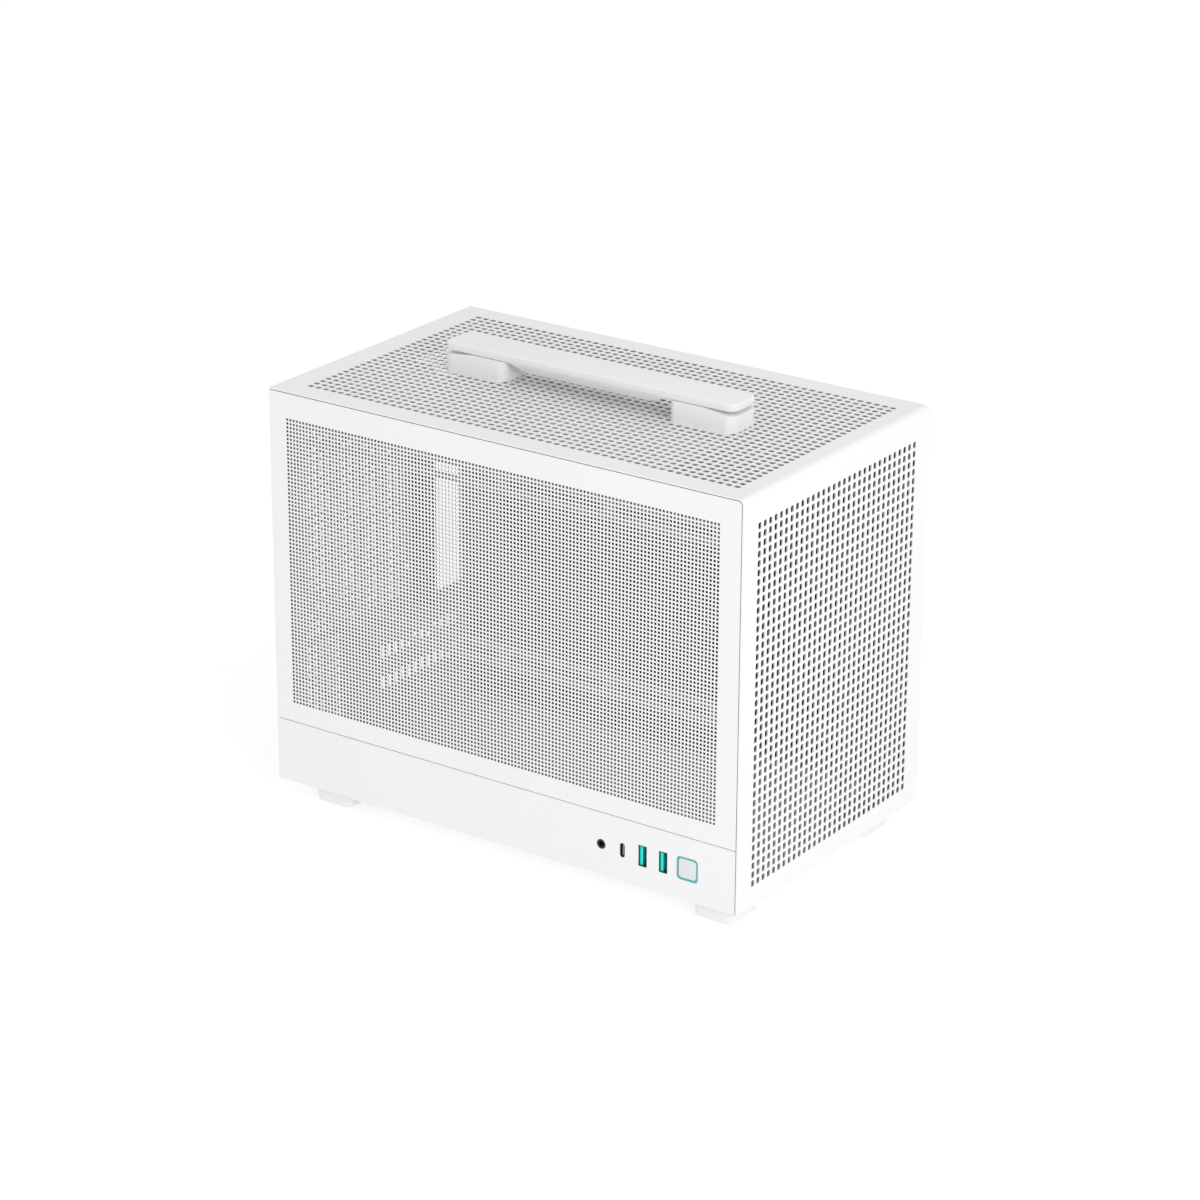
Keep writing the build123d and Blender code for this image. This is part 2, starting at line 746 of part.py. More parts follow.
flange_face = case_width / 2 - sheet - ring_collar - button_gap
switch_face = board_y + switch_height
plunger_face = switch_face + plunger_reach
with BuildPart() as power_button:
    with BuildSketch(wall(-1, case_width / 2)):
        with Locations((button_x, port_z)):
            RectangleRounded(button_size, button_size, button_corner)
    extrude(amount=-button_depth)
    with BuildSketch(wall(-1, flange_face)):
        with Locations((button_x, port_z)):
            RectangleRounded(button_flange, button_flange, button_corner)
    extrude(amount=-button_flange_thickness)
    with BuildSketch(wall(-1, plunger_face)):
        with Locations((button_x, port_z)):
            Circle(stem_radius)
    extrude(amount=flange_face - plunger_face)
save(power_button.part, "power_button")

with BuildPart() as switch_plunger:
    with BuildSketch(wall(-1, plunger_face)):
        with Locations((button_x, port_z)):
            Circle(plunger_radius)
    extrude(amount=-(plunger_reach + button_travel))
save(switch_plunger.part, "switch_plunger")

with BuildPart() as tactile_switch:
    with BuildSketch(wall(-1, board_y)):
        with Locations((button_x, port_z)):
            Rectangle(switch_size, switch_size)
    extrude(amount=switch_height)
    with BuildSketch(wall(-1, switch_face)):
        with Locations((button_x, port_z)):
            Circle(plunger_radius + post_clearance)
    extrude(amount=-(2 * button_travel + button_gap), mode=Mode.SUBTRACT)
save(tactile_switch.part, "tactile_switch")

# Handle blocks: flat tops that slope down towards the outer ends
for side, end_name in ((-1, "rear"), (1, "front")):
    with BuildPart() as handle_block:
        with BuildSketch(Plane.XZ):
            with BuildLine():
                Polyline(
                    (side * block_inner, top_z),
                    (side * block_outer, top_z),
                    (side * block_outer, top_z + block_height),
                    (side * (block_inner + block_flat), top_z + block_height + block_rise),
                    (side * block_inner, top_z + block_height + block_rise),
                    close=True,
                )
            make_face()
        extrude(amount=block_width / 2, both=True)
        fillet(edges().filter_by(Axis.Z), block_corner)
        with BuildSketch(Plane.XY.offset(top_z)):
            with Locations((side * block_centre_x, 0)):
                Circle(post_radius + post_clearance)
        extrude(amount=block_height + block_rise, mode=Mode.SUBTRACT)
        with BuildSketch(Plane.XY.offset(top_z)):
            for offset_x in (-handle_screw_offset, handle_screw_offset):
                with Locations((side * block_centre_x + offset_x, 0)):
                    Circle(handle_screw_radius + screw_clearance)
        extrude(amount=handle_screw_bite, mode=Mode.SUBTRACT)
    save(handle_block.part, f"handle_block_{end_name}")

with BuildPart() as handle_screws:
    for side in (-1, 1):
        for offset_x in (-handle_screw_offset, handle_screw_offset):
            with BuildSketch(Plane.XY.offset(top_inner_z)):
                with Locations((side * block_centre_x + offset_x, 0)):
                    Circle(handle_screw_head_radius)
            extrude(amount=-handle_screw_head)
            with BuildSketch(Plane.XY.offset(top_inner_z)):
                with Locations((side * block_centre_x + offset_x, 0)):
                    Circle(handle_screw_radius)
            extrude(amount=cover_sheet + handle_screw_bite)
save(handle_screws.part, "handle_screws")

# Handle bar, grip and guide posts: they lift together until the collars meet the top sheet
with BuildPart() as handle_bar:
    with BuildSketch(Plane.XY.offset(bar_low_z)):
        RectangleRounded(bar_length, bar_width, bar_corner)
    extrude(amount=bar_thickness)
    fillet(edges().group_by(Axis.Z)[-1], bar_round)
save(handle_bar.part, "handle_bar")

with BuildPart() as handle_grip:
    with BuildSketch(Plane.XZ):
        with BuildLine():
            Polyline(
                (-grip_length / 2, bar_low_z),
                (grip_length / 2, bar_low_z),
                (grip_flat / 2, bar_low_z - grip_depth),
                (-grip_flat / 2, bar_low_z - grip_depth),
                close=True,
            )
        make_face()
    extrude(amount=grip_width / 2, both=True)
    with BuildSketch(Plane.YZ):
        with BuildLine():
            Polyline(
                (-grip_width / 2, bar_low_z),
                (grip_width / 2, bar_low_z),
                (grip_low_width / 2, bar_low_z - grip_depth),
                (-grip_low_width / 2, bar_low_z - grip_depth),
                close=True,
            )
        make_face()
    extrude(amount=grip_length / 2, both=True, mode=Mode.INTERSECT)
save(handle_grip.part, "handle_grip")

with BuildPart() as handle_posts:
    collar_top_z = top_inner_z - handle_travel
    for side in (-1, 1):
        with BuildSketch(Plane.XY.offset(bar_low_z)):
            with Locations((side * block_centre_x, 0)):
                Circle(post_radius)
        extrude(amount=-(bar_low_z - collar_top_z + post_collar))
        with BuildSketch(Plane.XY.offset(collar_top_z)):
            with Locations((side * block_centre_x, 0)):
                Circle(post_collar_radius)
        extrude(amount=-post_collar)
save(handle_posts.part, "handle_posts")

# Feet with rubber pads let into their undersides
with BuildPart() as foot_pads:
    for spot in foot_spots:
        with BuildSketch(Plane.XY):
            with Locations(spot):
                Rectangle(foot_length - 2 * pad_margin, foot_width - 2 * pad_margin)
        extrude(amount=pad_height)
    fillet(edges().filter_by(Axis.Z), foot_corner)
save(foot_pads.part, "foot_pads")

for (x, y), foot_name in zip(foot_spots, ("rear_near", "rear_far", "front_near", "front_far")):
    with BuildPart() as foot:
        with BuildSketch(Plane.XY.offset(floor_z)):
            with Locations((x, y)):
                RectangleRounded(foot_length, foot_width, foot_corner)
        extrude(amount=-(foot_height - pad_proud), taper=foot_taper)
        with BuildSketch(Plane.XY.offset(pad_proud)):
            with Locations((x, y)):
                RectangleRounded(foot_length - 2 * pad_margin, foot_width - 2 * pad_margin, foot_corner)
        extrude(amount=pad_height - pad_proud, mode=Mode.SUBTRACT)
        with BuildSketch(Plane.XY.offset(floor_z)):
            with Locations((x, y)):
                Circle(foot_screw_radius + screw_clearance)
        extrude(amount=-foot_screw_bite, mode=Mode.SUBTRACT)
    save(foot.part, f"foot_{foot_name}")

with BuildPart() as foot_screws:
    for spot in foot_spots:
        with BuildSketch(Plane.XY.offset(base_top_z)):
            with Locations(spot):
                Circle(foot_screw_head_radius)
        extrude(amount=foot_screw_head)
        with BuildSketch(Plane.XY.offset(base_top_z)):
            with Locations(spot):
                Circle(foot_screw_radius)
        extrude(amount=-(sheet + foot_screw_bite))
save(foot_screws.part, "foot_screws")
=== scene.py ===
"""Compact computer case with a carry handle: sheet covers, handle, ports, button, feet and stage."""

import json
import math

import bmesh
import bpy
from bpy.props import FloatProperty, FloatVectorProperty, IntProperty, PointerProperty
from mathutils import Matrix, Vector

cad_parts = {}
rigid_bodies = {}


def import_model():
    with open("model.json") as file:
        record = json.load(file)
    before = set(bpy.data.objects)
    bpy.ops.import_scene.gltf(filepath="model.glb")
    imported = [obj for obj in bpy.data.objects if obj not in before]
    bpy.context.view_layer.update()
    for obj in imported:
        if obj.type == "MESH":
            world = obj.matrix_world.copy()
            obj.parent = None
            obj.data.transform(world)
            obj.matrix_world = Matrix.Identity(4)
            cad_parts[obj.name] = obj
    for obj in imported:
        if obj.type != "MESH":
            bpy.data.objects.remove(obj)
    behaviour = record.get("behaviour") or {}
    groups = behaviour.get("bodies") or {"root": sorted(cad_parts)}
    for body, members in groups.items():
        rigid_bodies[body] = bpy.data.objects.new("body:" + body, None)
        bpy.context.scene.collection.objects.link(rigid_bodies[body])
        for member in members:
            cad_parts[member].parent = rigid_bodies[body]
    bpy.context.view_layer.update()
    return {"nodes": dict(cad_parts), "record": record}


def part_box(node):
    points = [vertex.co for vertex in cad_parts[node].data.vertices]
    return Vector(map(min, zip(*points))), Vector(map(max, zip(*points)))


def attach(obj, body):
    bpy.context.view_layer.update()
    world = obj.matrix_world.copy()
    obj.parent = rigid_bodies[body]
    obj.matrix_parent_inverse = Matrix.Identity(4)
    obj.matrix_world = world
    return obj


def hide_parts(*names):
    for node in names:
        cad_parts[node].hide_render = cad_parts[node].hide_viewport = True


bl_info = {
    "name": "Computer Case",
    "version": (1, 0, 0),
    "blender": (4, 5, 0),
    "location": "View3D > Sidebar > Case",
    "description": "Builds a perforated compact computer case around its packed frame",
    "category": "Object",
}

for old in list(bpy.data.objects):
    bpy.data.objects.remove(old)
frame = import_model()
MM = 0.001

WRAP_LOW, WRAP_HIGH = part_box("wrap_cover")
SMOOTH_ANGLE = math.radians(35)
BLOCK_ANGLE = math.radians(40)
FLAT_ANGLE = math.radians(1)
SAME_PLACE = 1e-5
SAME_POINT = 1e-6
UPRIGHT = 1e-3
BEND_STEPS = 6
HEIGHT_FIRST = 10
# Material indices of a thickened sheet: white paint outside, near-black painted shade on the inner face, darker
# painted shade on the hole walls.
OUTER_COAT, INNER_SHADE, RIM_SHADE = 0, 1, 2


# --- Sizes and colours -------------------------------------------------------------------------


def length(name, text, default):
    return FloatProperty(name=name, description=text, default=default, unit="LENGTH", precision=5)


def colour(name, text, default):
    return FloatVectorProperty(name=name, description=text, default=default, subtype="COLOR", size=3, min=0, max=1)


class CoverSizes(bpy.types.PropertyGroup):
    sheet: length("Sheet", "Thickness of the wrap cover", 0.8 * MM)
    bend: length("Bend", "Outer radius of the bend between front and top", 3.5 * MM)
    slot_long: length("Slot length", "Long side of a slot", 4.0 * MM)
    slot_short: length("Slot width", "Short side of a slot", 3.0 * MM)
    slot_round: length("Slot corner", "Cut across a slot's corners", 0.7 * MM)
    pitch_across: length("Pitch across", "Slot pitch across the case", 5.55 * MM)
    pitch_top: length("Pitch along the top", "Slot pitch along the top", 5.59 * MM)
    pitch_front: length("Pitch down the front", "Slot pitch down the front", 5.605 * MM)
    across: IntProperty(name="Slots across", description="Slots across the case", default=31, min=1)
    along_top: IntProperty(name="Slots along", description="Slots along the top", default=55, min=1)
    down_front: IntProperty(name="Slots down", description="Slots down the front", default=40, min=1)
    top_margin: length("Rear margin", "Rear edge to the first slot's centre", 18.8 * MM)
    front_margin: length("Top margin", "Top face to the first front slot's centre", 19.7 * MM)


class PanelSizes(bpy.types.PropertyGroup):
    sheet: length("Sheet", "Thickness of a side panel", 0.6 * MM)
    hole: length("Hole", "Side of a square hole", 1.45 * MM)
    pitch_along: length("Pitch along", "Hole pitch along the case", 2.45 * MM)
    pitch_up: length("Pitch up", "Hole pitch up the case", 2.45 * MM)
    along: IntProperty(name="Holes along", description="Holes along the case", default=126, min=1)
    up: IntProperty(name="Holes up", description="Holes up the case", default=75, min=1)
    rear_margin: length("Rear margin", "Rear edge to the first hole's centre", 13.6 * MM)
    top_margin: length("Top margin", "Top face to the highest hole's centre", 17.5 * MM)
    lip: length("Lip", "Depth of the folded lips", 5.0 * MM)
    corner: length("Corner", "Rounding of a panel's top front corner", 2.0 * MM)


class VentSizes(bpy.types.PropertyGroup):
    pitch: length("Pitch", "Pitch of the rear vent slots", 5.6 * MM)
    width: length("Width", "Width of a rear vent slot", 3.0 * MM)
    height: length("Height", "Height of a rear vent slot", 4.0 * MM)
    cutter: length("Cutter", "Depth of the tool that cuts a vent slot", 8.0 * MM)
    softness: FloatProperty(name="Softness", description="Rounding of a vent slot over half its width", default=0.7)
    fan_columns: IntProperty(name="Fan columns", description="Columns of the fan vent", default=18, min=1)
    fan_rows: IntProperty(name="Fan rows", description="Rows of the fan vent", default=25, min=1)
    low_columns: IntProperty(name="Low columns", description="Columns of the low vent", default=7, min=1)
    low_rows: IntProperty(name="Low rows", description="Rows of the low vent", default=11, min=1)
    fan_centre: FloatVectorProperty(
        name="Fan centre", description="Centre of the fan vent, Y and Z", size=2,
        default=(-34.5 * MM, 166.5 * MM), unit="LENGTH",
    )
    low_centre: FloatVectorProperty(
        name="Low centre", description="Centre of the low vent, Y and Z", size=2,
        default=(-69.0 * MM, 61.5 * MM), unit="LENGTH",
    )


class TrimSizes(bpy.types.PropertyGroup):
    bar_round: length("Bar edge", "Rounding of the handle bar's edges", 0.8 * MM)
    block_round: length("Block edge", "Rounding of the handle blocks' top edges", 0.9 * MM)
    grip_round: length("Grip edge", "Rounding of the grip's edges", 0.8 * MM)
    bar_corner: length("Bar corner", "Rounding of the bar's corners in plan", 6.0 * MM)
    foot_corner: length("Foot corner", "Rounding of the feet's upright corners", 5.0 * MM)
    foot_round: length("Foot edge", "Rounding of the feet's lower edges", 1.0 * MM)
    foot_taper: FloatProperty(name="Foot taper", description="Foot's sole over its top", default=0.95)
    button_round: length("Button edge", "Rounding of the button's face", 0.35 * MM)


class FinishColours(bpy.types.PropertyGroup):
    paint: colour("Paint", "White powder coat", (0.80, 0.80, 0.80))
    # Painted shade: the near-black inner faces of the perforated sheets stand in for the shade inside the case.
    inside: colour("Inside", "Dark coat inside the perforated sheets", (0.045, 0.045, 0.047))
    # Painted shade: the parts inside the case are near-black to stand in for the shade inside it.
    inner: colour("Inner", "Dark coat on the parts inside the case", (0.045, 0.045, 0.047))
    # Painted shade: the grey walls of the cover's slots stand in for the shade in the slots; the real cut edges are
    # white paint.
    edge: colour("Edge", "Cut edges of the slotted cover", (0.50, 0.50, 0.50))
    # Painted shade: the near-black walls of the side panel's holes stand in for the shade in the holes.
    mesh_edge: colour("Mesh edge", "Cut edges of the side panel's holes", (0.10, 0.10, 0.10))
    plastic: colour("Plastic", "White plastic", (0.78, 0.78, 0.78))
    button: colour("Button", "Light grey button", (0.70, 0.705, 0.71))
    light: colour("Light ring", "Teal ring round the button", (0.05, 0.36, 0.36))
    tongue: colour("Tongue", "Teal tongue of a port", (0.01, 0.80, 0.68))
    shell: colour("Shell", "Dark plated shell of a port", (0.02, 0.02, 0.022))
    insert: colour("Insert", "Grey tongue of the small port", (0.32, 0.32, 0.33))
    black: colour("Black", "Black plastic", (0.012, 0.012, 0.014))
    steel: colour("Steel", "Plated steel", (0.55, 0.56, 0.57))
    brass: colour("Brass", "Turned brass", (0.68, 0.50, 0.22))
    board: colour("Board", "Circuit board", (0.015, 0.06, 0.04))
    rubber: colour("Rubber", "Rubber pads", (0.20, 0.20, 0.205))


class StageSettings(bpy.types.PropertyGroup):
    azimuth: FloatProperty(name="Azimuth", description="Camera azimuth in degrees", default=34.89)
    elevation: FloatProperty(name="Elevation", description="Camera elevation in degrees", default=21.47)
    roll: FloatProperty(name="Roll", description="Camera roll in degrees", default=0.28)
    distance: length("Distance", "Camera to its target", 2.3847)
    target: FloatVectorProperty(
        name="Target", description="Where the camera looks", size=3, default=(0.0024, 0.0, 0.1336), unit="LENGTH"
    )
    lens: FloatProperty(name="Lens", description="Focal length in millimetres", default=119.07)
    sensor: FloatProperty(name="Sensor", description="Sensor width in millimetres", default=36.0)
    reach: length("Reach", "How far the camera sees", 50.0)
    world: FloatProperty(name="World", description="Strength of the even light", default=0.91)
    floor: colour("Floor", "Pale floor", (0.38, 0.38, 0.38))
    floor_side: length("Floor side", "Side of the floor", 12.0)
    floor_drop: length("Floor drop", "Floor below the feet", 0.2 * MM)
    floor_glow: FloatProperty(name="Floor glow", description="Light that the pale floor gives off", default=0.65)
    key_place: FloatVectorProperty(
        name="Key light", description="Where the soft light stands", size=3, default=(1.6, -1.0, 0.9), unit="LENGTH"
    )
    key_aim: FloatVectorProperty(
        name="Key aim", description="What the soft light points at", size=3, default=(0, 0, 0.13), unit="LENGTH"
    )
    key_size: length("Key size", "Side of the soft light", 1.0)
    key_power: FloatProperty(name="Key power", description="Watts of the soft light", default=12.5)


GROUPS = (
    ("case_cover", CoverSizes),
    ("case_panel", PanelSizes),
    ("case_vent", VentSizes),
    ("case_trim", TrimSizes),
    ("case_colours", FinishColours),
    ("case_stage", StageSettings),
)


# --- Materials ---------------------------------------------------------------------------------


class Value:
    """A node socket that takes part in plain arithmetic."""

    def __init__(self, tree, socket):
        self.tree = tree
        self.socket = socket

    def maths(self, operation, first, second):
        node = self.tree.nodes.new("ShaderNodeMath")
        node.operation = operation
        for slot, item in zip(node.inputs, (first, second)):
            if isinstance(item, Value):
                self.tree.links.new(item.socket, slot)
            else:
                slot.default_value = item
        return Value(self.tree, node.outputs[0])

    def __add__(self, other):
        return self.maths("ADD", self, other)

    def __mul__(self, other):
        return self.maths("MULTIPLY", self, other)

    __radd__ = __add__
    __rmul__ = __mul__


class Finish:
    """One procedural material: its nodes are added by node() and joined to the shader by set()."""

    def __init__(self, name):
        self.material = bpy.data.materials.new(name)
        self.material.use_nodes = True
        self.tree = self.material.node_tree
        self.shader = self.tree.nodes["Principled BSDF"]
        self.place = self.node("ShaderNodeTexCoord", output="Object")

    def node(self, kind, settings=None, output=0, **inputs):
        node = self.tree.nodes.new(kind)
        for key, item in (settings or {}).items():
            setattr(node, key, item)
        for key, item in inputs.items():
            slot = node.inputs[key.replace("_", " ")]
            if isinstance(item, Value):
                self.tree.links.new(item.socket, slot)
            else:
                slot.default_value = item
        return Value(self.tree, node.outputs[output])

    def noise(self, scale, detail=2.0, roughness=0.5):
        return self.node("ShaderNodeTexNoise", Vector=self.place, Scale=scale, Detail=detail, Roughness=roughness)

    def blend(self, factor, first, second):
        node = self.tree.nodes.new("ShaderNodeMix")
        node.data_type = "RGBA"
        self.tree.links.new(factor.socket, node.inputs[0])
        node.inputs[6].default_value = (*first, 1.0)
        node.inputs[7].default_value = (*second, 1.0)
        return Value(self.tree, node.outputs[2])

    def bump(self, height, strength, distance):
        return self.node("ShaderNodeBump", Height=height, Strength=strength, Distance=distance)

    def set(self, **sockets):
        for key, item in sockets.items():
            slot = self.shader.inputs[key.replace("_", " ")]
            if isinstance(item, Value):
                self.tree.links.new(item.socket, slot)
            else:
                slot.default_value = item
        return self.material


def shade(rgb, factor):
    return tuple(min(1.0, part * factor) for part in rgb)


def powder_coat(name, rgb, grain=1500.0):
    """Satin powder coat: a fine orange-peel grain and a faint cloudiness."""
    finish = Finish(name)
    clouds = finish.noise(9.0, 3.0)
    peel = finish.noise(grain, 2.0, 0.6)
    return finish.set(
        Base_Color=finish.blend(clouds, shade(rgb, 0.985), shade(rgb, 1.01)),
        Roughness=0.42 + 0.10 * peel,
        Normal=finish.bump(peel, 0.10, 0.00012),
        Specular_IOR_Level=0.45,
    )


def moulded(name, rgb, rough=0.4, grain=2600.0, coat=0.0, glow=0.0):
    """Moulded plastic, rubber or paper with a fine texture."""
    finish = Finish(name)
    skin = finish.noise(grain, 2.0)
    tint = finish.noise(30.0, 2.0)
    return finish.set(
        Base_Color=finish.blend(tint, shade(rgb, 0.97), shade(rgb, 1.02)),
        Roughness=rough + 0.08 * skin,
        Normal=finish.bump(skin, 0.08, 0.00008),
        Coat_Weight=coat,
        Emission_Color=(1.0, 1.0, 1.0, 1.0),
        Emission_Strength=glow,
    )


def plated(name, rgb, rough=0.28):
    """Plated metal with fine brushing."""
    finish = Finish(name)
    brushing = finish.noise(900.0, 4.0, 0.7)
    return finish.set(
        Base_Color=finish.blend(brushing, shade(rgb, 0.93), shade(rgb, 1.05)),
        Metallic=1.0,
        Roughness=rough + 0.12 * brushing,
        Normal=finish.bump(brushing, 0.05, 0.00005),
    )


def light_ring(name, rgb):
    finish = Finish(name)
    glow = finish.noise(60.0, 2.0)
    return finish.set(
        Base_Color=finish.blend(glow, shade(rgb, 0.95), shade(rgb, 1.05)),
        Roughness=0.3,
        Emission_Color=finish.blend(glow, shade(rgb, 0.9), shade(rgb, 1.0)),
        Emission_Strength=0.25,
    )


MATERIALS = {}


def make_materials(rgb):
    MATERIALS.update(
        white_paint=powder_coat("white_paint", rgb.paint),
        # Painted shade: near-black inner faces of the perforated sheets.
        inside_coat=powder_coat("inside_coat", rgb.inside),
        # Painted shade: near-black parts inside the case.
        inner_paint=powder_coat("inner_paint", rgb.inner),
        # Painted shade: grey slot walls of the wrap cover.
        cut_edge=powder_coat("cut_edge", rgb.edge),
        # Painted shade: near-black hole walls of the side panel.
        mesh_edge=powder_coat("mesh_edge", rgb.mesh_edge),
        handle_paint=powder_coat("handle_paint", rgb.paint),
        grip_plastic=moulded("grip_plastic", rgb.plastic, 0.45),
        white_plastic=moulded("white_plastic", rgb.plastic, 0.42),
        button_plastic=moulded("button_plastic", rgb.button, 0.35),
        teal_light=light_ring("teal_light", rgb.light),
        teal_plastic=moulded("teal_plastic", rgb.tongue, 0.25, coat=0.3),
        black_plastic=moulded("black_plastic", rgb.black, 0.35),
        port_shell=moulded("port_shell", rgb.shell, 0.45),
        port_insert=moulded("port_insert", rgb.insert, 0.4),
        steel=plated("steel", rgb.steel),
        brass=plated("brass", rgb.brass, 0.25),
        circuit_board=moulded("circuit_board", rgb.board, 0.3, coat=0.4),
        rubber=moulded("rubber", rgb.rubber, 0.75, 1800.0),
    )


# --- Modelling ---------------------------------------------------------------------------------


def only(piece):
    bpy.ops.object.select_all(action="DESELECT")
    piece.select_set(True)
    bpy.context.view_layer.objects.active = piece


def named(name):
    """The primitive just added, renamed, and the only thing selected."""
    piece = bpy.context.active_object
    piece.name = name
    piece.data.name = name
    only(piece)
    return piece


def pick(piece, test, kind="edges"):
    """Enters edit mode with only the vertices, edges or faces chosen whose every corner passes the test."""
    only(piece)
    bpy.ops.object.mode_set(mode="EDIT")
    modes = {"verts": (True, False, False), "edges": (False, True, False), "faces": (False, False, True)}
    bpy.context.tool_settings.mesh_select_mode = modes[kind]
    bpy.ops.mesh.select_all(action="DESELECT")
    mesh = bmesh.from_edit_mesh(piece.data)
    for item in getattr(mesh, kind):
        corners = [item] if kind == "verts" else item.verts
        if all(test(corner.co) for corner in corners):
            item.select_set(True)
    bmesh.update_edit_mesh(piece.data)


def pick_edges(piece, test):
    """Enters edit mode with only the edges chosen whose two ends pass the test together."""
    only(piece)
    bpy.ops.object.mode_set(mode="EDIT")
    bpy.context.tool_settings.mesh_select_mode = (False, True, False)
    bpy.ops.mesh.select_all(action="DESELECT")
    for edge in bmesh.from_edit_mesh(piece.data).edges:
        if test(edge.verts[0].co, edge.verts[1].co):
            edge.select_set(True)


def pick_all(piece):
    only(piece)
    bpy.ops.object.mode_set(mode="EDIT")
    bpy.ops.mesh.select_all(action="SELECT")


def done():
    bpy.ops.object.mode_set(mode="OBJECT")


def apply_modifier(piece, kind, **settings):
    only(piece)
    modifier = piece.modifiers.new(kind.title(), kind)
    for key, item in settings.items():
        setattr(modifier, key, item)
    bpy.ops.object.modifier_apply(modifier=modifier.name)


def near(first, second, room=SAME_PLACE):
    return abs(first - second) < room


def side(piece, axis, level):
    """Chooses the edges that lie at a level of an axis."""
    pick(piece, lambda at: near(at[axis], level, 2 * SAME_PLACE))


def pull(offset):
    bpy.ops.mesh.extrude_edges_move(TRANSFORM_OT_translate={"value": offset})
    done()


def settle(piece):
    """Applies the object's place, turn and scale to its mesh, and merges doubles."""
    only(piece)
    bpy.ops.object.transform_apply(location=True, rotation=True, scale=True)
    pick_all(piece)
    bpy.ops.mesh.remove_doubles(threshold=SAME_PLACE)
    done()


def turn_alike(piece):
    """Gives all faces of a sheet the same side, before it gets its thickness."""
    pick_all(piece)
    bpy.ops.mesh.normals_make_consistent(inside=False)
    done()


def repeat(piece, count, step):
    apply_modifier(
        piece, "ARRAY", count=count, use_relative_offset=False, use_constant_offset=True,
        constant_offset_displace=step, use_merge_vertices=True, merge_threshold=SAME_PLACE,
    )


def dress(piece, slot, body, *nodes):
    """Gives a finished piece the material of its slot, when it has none yet, hides the CAD nodes it stands for, and
    ties it to its body.
    """
    if not piece.data.materials:
        piece.data.materials.append(MATERIALS[slot])
    if nodes:
        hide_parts(*nodes)
    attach(piece, body)
    return piece


def thicken(piece, thickness, edge):
    """Gives a flat sheet its thickness, a dark inner face of painted shade, darker cut edges in holes as painted
    shade, and paint on its own edges.
    """
    piece.data.materials.clear()
    for coat in ("white_paint", "inside_coat", edge):
        piece.data.materials.append(MATERIALS[coat])
    apply_modifier(
        piece, "SOLIDIFY", thickness=thickness, offset=-1, use_even_offset=True,
        material_offset=INNER_SHADE, material_offset_rim=RIM_SHADE,
    )
    low = [min(vertex.co[axis] for vertex in piece.data.vertices) for axis in range(3)]
    high = [max(vertex.co[axis] for vertex in piece.data.vertices) for axis in range(3)]
    for face in piece.data.polygons:
        ends = [near(face.center[axis], level[axis]) for axis in range(3) for level in (low, high)]
        if face.material_index == RIM_SHADE and any(ends):
            face.material_index = OUTER_COAT


def slotted_field(name, columns, rows, pitch_x, pitch_y, slot_x, slot_y, corner):
    """A flat field of slots with cut corners, centred on the origin, modelled as one cell and repeated."""
    bpy.ops.mesh.primitive_plane_add(size=1, location=(0, 0, 0))
    piece = named(name)
    piece.scale = (pitch_x, pitch_y, 1)
    bpy.ops.object.transform_apply(location=False, rotation=False, scale=True)
    inset = min(pitch_x, pitch_y) / 8
    pick(piece, lambda at: True, "faces")
    bpy.ops.mesh.inset(thickness=inset, depth=0)
    bpy.ops.transform.resize(value=(slot_x / (pitch_x - 2 * inset), slot_y / (pitch_y - 2 * inset), 1))
    bpy.ops.mesh.bevel(offset=corner, offset_type="OFFSET", segments=1, affect="VERTICES")
    done()
    reach_x, reach_y = slot_x / 2 + SAME_PLACE, slot_y / 2 + SAME_PLACE
    pick(piece, lambda at: abs(at.x) < reach_x and abs(at.y) < reach_y, "faces")
    bpy.ops.mesh.delete(type="FACE")
    done()
    repeat(piece, columns, (pitch_x, 0, 0))
    repeat(piece, rows, (0, pitch_y, 0))
    middle = Vector((-(columns - 1) * pitch_x / 2, -(rows - 1) * pitch_y / 2, 0))
    piece.location = middle
    bpy.ops.object.transform_apply(location=True)
    return piece


def join(first, *others):
    only(first)
    for other in others:
        other.select_set(True)
    bpy.ops.object.join()
    return first


